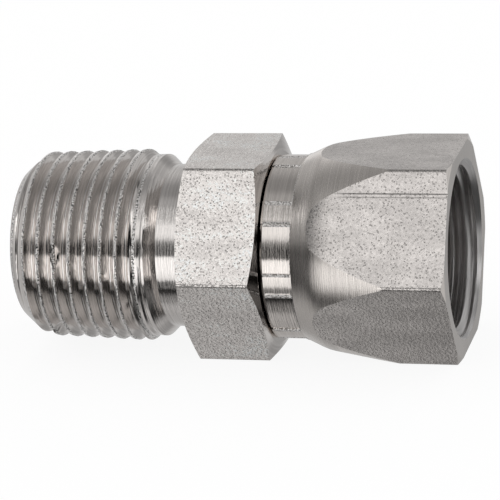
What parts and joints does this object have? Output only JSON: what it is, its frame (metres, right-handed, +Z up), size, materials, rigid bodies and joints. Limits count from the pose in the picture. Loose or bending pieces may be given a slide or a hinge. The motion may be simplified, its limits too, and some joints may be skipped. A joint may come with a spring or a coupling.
{
  "type": "hydraulic adapter",
  "caption": "Straight steel hydraulic adapter: tapered male pipe thread, wrench hexagon and a free-turning female swivel nut over a concave 37 degree seat.",
  "frame": {"origin": "on the resting plane, under the middle of the adapter's length and under its axis", "axes": "+X along the common axis, out of the swivel nut's mouth; +Z up from the hexagon flats that it lies on; the pipe end points to -X"},
  "size_m": [0.0494, 0.0256, 0.0222],
  "materials": {
    "body_zinc_plate": "bright zinc plate: lathe lines on the turned surfaces, fine-pitted mill skin on the hexagon's flats",
    "nut_zinc_plate": "bright zinc plate: lathe lines on the turned shoulder and collar, fine-pitted mill skin on the hexagon's flats"
  },
  "bodies": {
    "body": {"adapter_body": "body_zinc_plate"},
    "nut": {"swivel_nut": "nut_zinc_plate"}
  },
  "joints": [
    {"name": "nut_spin", "type": "hinge", "parent": "body", "child": "nut", "pos_m": [0.0145, 0, 0.01111], "axis": [1, 0, 0], "continuous": true}
  ]
}
